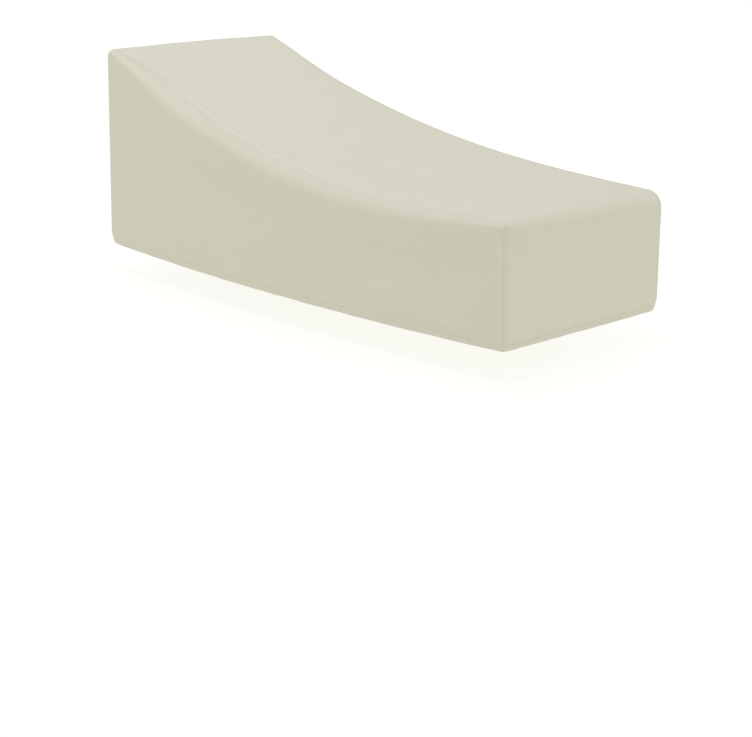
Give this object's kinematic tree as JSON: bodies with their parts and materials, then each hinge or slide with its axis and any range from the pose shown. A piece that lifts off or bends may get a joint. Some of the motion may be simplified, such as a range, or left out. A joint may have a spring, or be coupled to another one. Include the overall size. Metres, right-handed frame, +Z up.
{
  "type": "lounge chair cover",
  "caption": "Fitted cloth cover for a chaise lounge: high curved head end, low flat foot end, rounded shoulders, open underneath.",
  "frame": {"origin": "under the top at mid length on the centre line, where the furniture inside holds the cover up", "axes": "+X runs from the high head end to the low foot end, +Z is up, -Y is the near long side in the picture"},
  "size_m": [1.9294, 0.8786, 0.7313],
  "materials": {
    "cover_cloth": "matt coated cloth, pale sage beige"
  },
  "bodies": {
    "root": {"centre_panel": "cover_cloth", "side_panel_near": "cover_cloth", "side_panel_far": "cover_cloth"}
  },
  "joints": []
}
